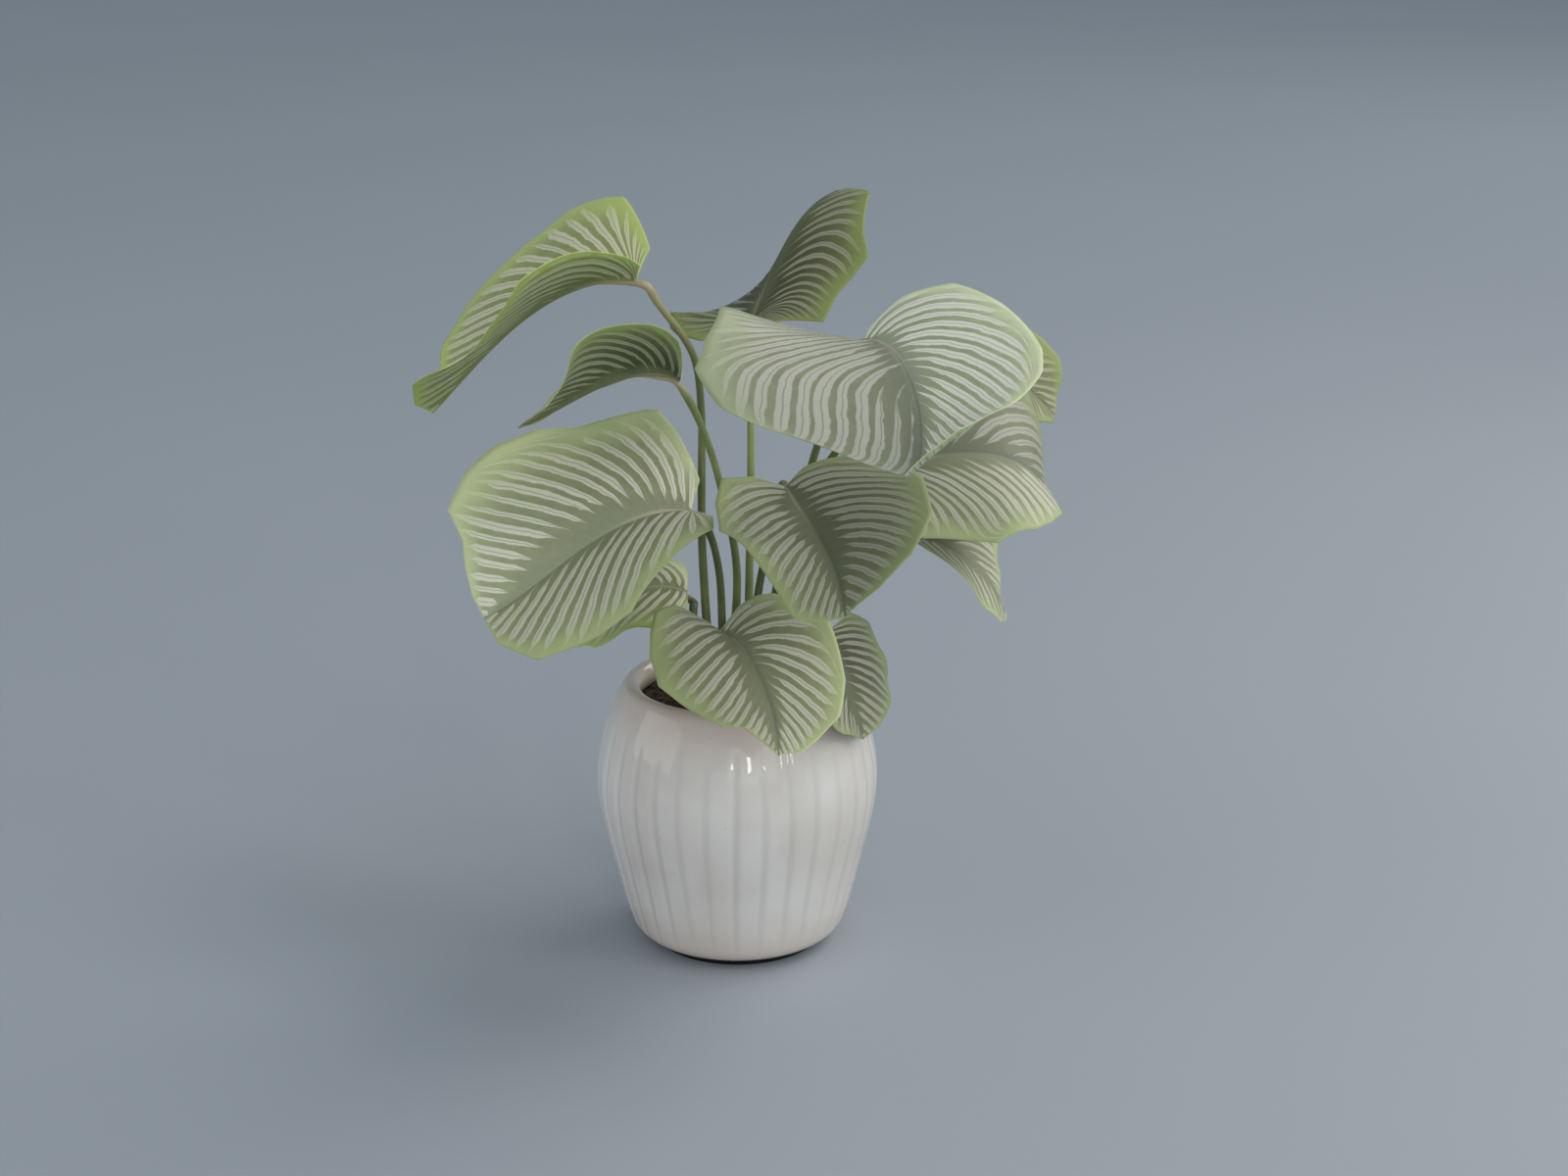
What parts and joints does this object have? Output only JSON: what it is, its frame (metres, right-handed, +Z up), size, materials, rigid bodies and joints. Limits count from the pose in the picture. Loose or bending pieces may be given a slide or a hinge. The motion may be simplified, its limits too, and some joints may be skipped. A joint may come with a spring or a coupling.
{
  "type": "potted peacock plant",
  "caption": "Peacock plant (Calathea orbifolia) with broad rounded leaves striped silver and green on slender stalks, in a bellied off-white glazed pot with soft upright flutes.",
  "frame": {"origin": "middle of the pot's flat foot, on the surface the pot stands on", "axes": "+Z up along the pot's axis, -Y toward the front, where the front leaf hangs over the rim, +X to the right as seen from the front"},
  "size_m": [0.5147, 0.5246, 0.5754],
  "materials": {
    "glaze": "gloss",
    "soil": "matte",
    "leaf": "satin",
    "stalk": "satin"
  },
  "bodies": {
    "root": {"pot": "glaze", "soil": "soil", "blade_upper_left": "leaf", "stalk_upper_left": "stalk", "blade_mid_left": "leaf", "stalk_mid_left": "stalk", "blade_top": "leaf", "stalk_top": "stalk", "blade_upper_right": "leaf", "stalk_upper_right": "stalk", "blade_right": "leaf", "stalk_right": "stalk", "blade_centre": "leaf", "stalk_centre": "stalk", "blade_left": "leaf", "stalk_left": "stalk", "blade_lower_left": "leaf", "stalk_lower_left": "stalk", "blade_front": "leaf", "stalk_front": "stalk", "blade_lower_right": "leaf", "stalk_lower_right": "stalk", "blade_right_low": "leaf", "stalk_right_low": "stalk", "blade_far_right": "leaf", "stalk_far_right": "stalk"}
  },
  "joints": []
}
